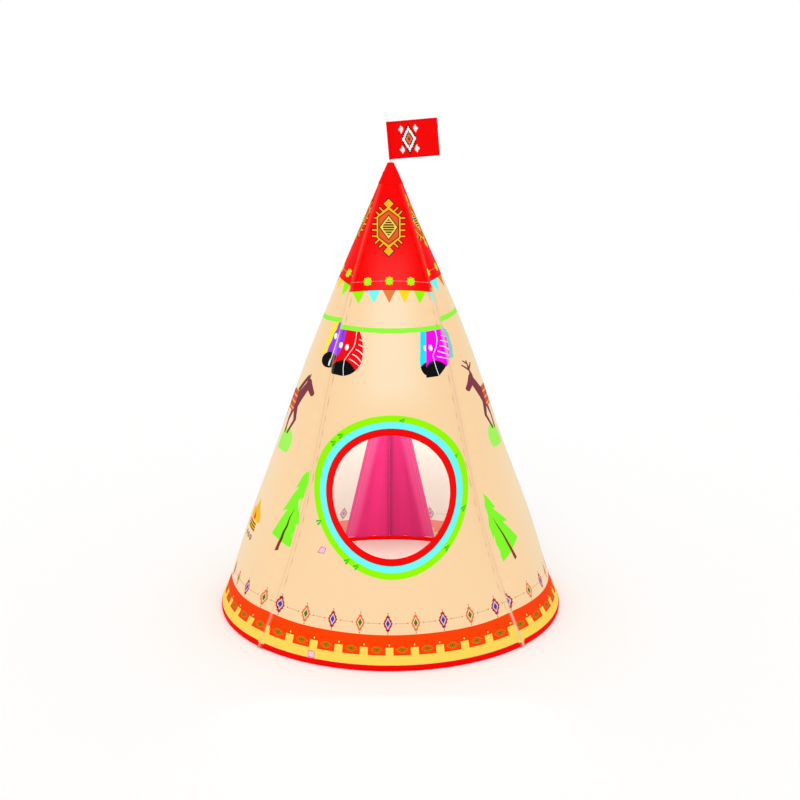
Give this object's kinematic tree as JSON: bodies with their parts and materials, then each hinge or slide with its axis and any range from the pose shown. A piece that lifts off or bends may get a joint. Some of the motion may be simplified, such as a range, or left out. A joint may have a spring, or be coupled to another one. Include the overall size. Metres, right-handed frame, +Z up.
{
  "type": "kids teepee",
  "caption": "Play tent with a printed cloth cover on a pole frame, a round base hoop, a round window, a curtained rear doorway and a flag that swings round its staff.",
  "frame": {"origin": "on the floor under the tip, at the centre of the round base", "axes": "+Z up; the window faces -Y and the curtained doorway faces +Y"},
  "size_m": [1, 1, 1.3954],
  "materials": {
    "printed_cloth": "printed woven polyester, matt",
    "cream_cloth": "plain woven polyester, matt",
    "red_cloth": "printed woven polyester, matt",
    "pink_cloth": "woven polyester, slight sheen",
    "fibreglass": "pultruded rod, satin",
    "plated_steel": "zinc plated",
    "white_plastic": "moulded, satin",
    "toggle_wood": "turned and waxed"
  },
  "bodies": {
    "tent": {"apex_hub": "white_plastic", "pole_front_left_lower": "fibreglass", "pole_front_left_middle": "fibreglass", "pole_front_left_upper": "fibreglass", "ferrule_front_left_lower": "plated_steel", "ferrule_front_left_upper": "plated_steel", "foot_front_left": "white_plastic", "pole_sleeve_front_left": "printed_cloth", "pole_front_right_lower": "fibreglass", "pole_front_right_middle": "fibreglass", "pole_front_right_upper": "fibreglass", "ferrule_front_right_lower": "plated_steel", "ferrule_front_right_upper": "plated_steel", "foot_front_right": "white_plastic", "pole_sleeve_front_right": "printed_cloth", "pole_rear_left_lower": "fibreglass", "pole_rear_left_middle": "fibreglass", "pole_rear_left_upper": "fibreglass", "ferrule_rear_left_lower": "plated_steel", "ferrule_rear_left_upper": "plated_steel", "foot_rear_left": "white_plastic", "pole_sleeve_rear_left": "printed_cloth", "pole_rear_right_lower": "fibreglass", "pole_rear_right_middle": "fibreglass", "pole_rear_right_upper": "fibreglass", "ferrule_rear_right_lower": "plated_steel", "ferrule_rear_right_upper": "plated_steel", "foot_rear_right": "white_plastic", "pole_sleeve_rear_right": "printed_cloth", "hoop_rod_front": "fibreglass", "hem_channel_front": "red_cloth", "wall_front": "printed_cloth", "hoop_rod_rear": "fibreglass", "hem_channel_rear": "red_cloth", "wall_rear": "printed_cloth", "hoop_rod_left": "fibreglass", "hem_channel_left": "red_cloth", "wall_left": "printed_cloth", "hoop_rod_right": "fibreglass", "hem_channel_right": "red_cloth", "wall_right": "printed_cloth", "tip_cup": "red_cloth", "window_binding": "red_cloth", "door_binding": "pink_cloth", "floor_sheet": "cream_cloth", "flag_staff": "white_plastic", "curtain_tie_left": "pink_cloth", "toggle_left": "toggle_wood", "curtain_tie_right": "pink_cloth", "toggle_right": "toggle_wood"},
    "flag": {"flag": "red_cloth"},
    "curtain_left": {"door_curtain_left": "pink_cloth"},
    "curtain_right": {"door_curtain_right": "pink_cloth"}
  },
  "joints": [
    {"name": "flag_swivel", "type": "hinge", "parent": "tent", "child": "flag", "pos_m": [0, 0, 1.275], "axis": [-0.0872, 0, 0.9962], "continuous": true},
    {"name": "curtain_left_swing", "type": "hinge", "parent": "tent", "child": "curtain_left", "pos_m": [-0.1485, 0.47235, 0.01956], "axis": [0.2032, -0.3004, 0.9319], "range_deg": [0, 120]},
    {"name": "curtain_right_swing", "type": "hinge", "parent": "tent", "child": "curtain_right", "pos_m": [0.1485, 0.47235, 0.01956], "axis": [0.2032, 0.3004, -0.9319], "range_deg": [0, 120]}
  ]
}
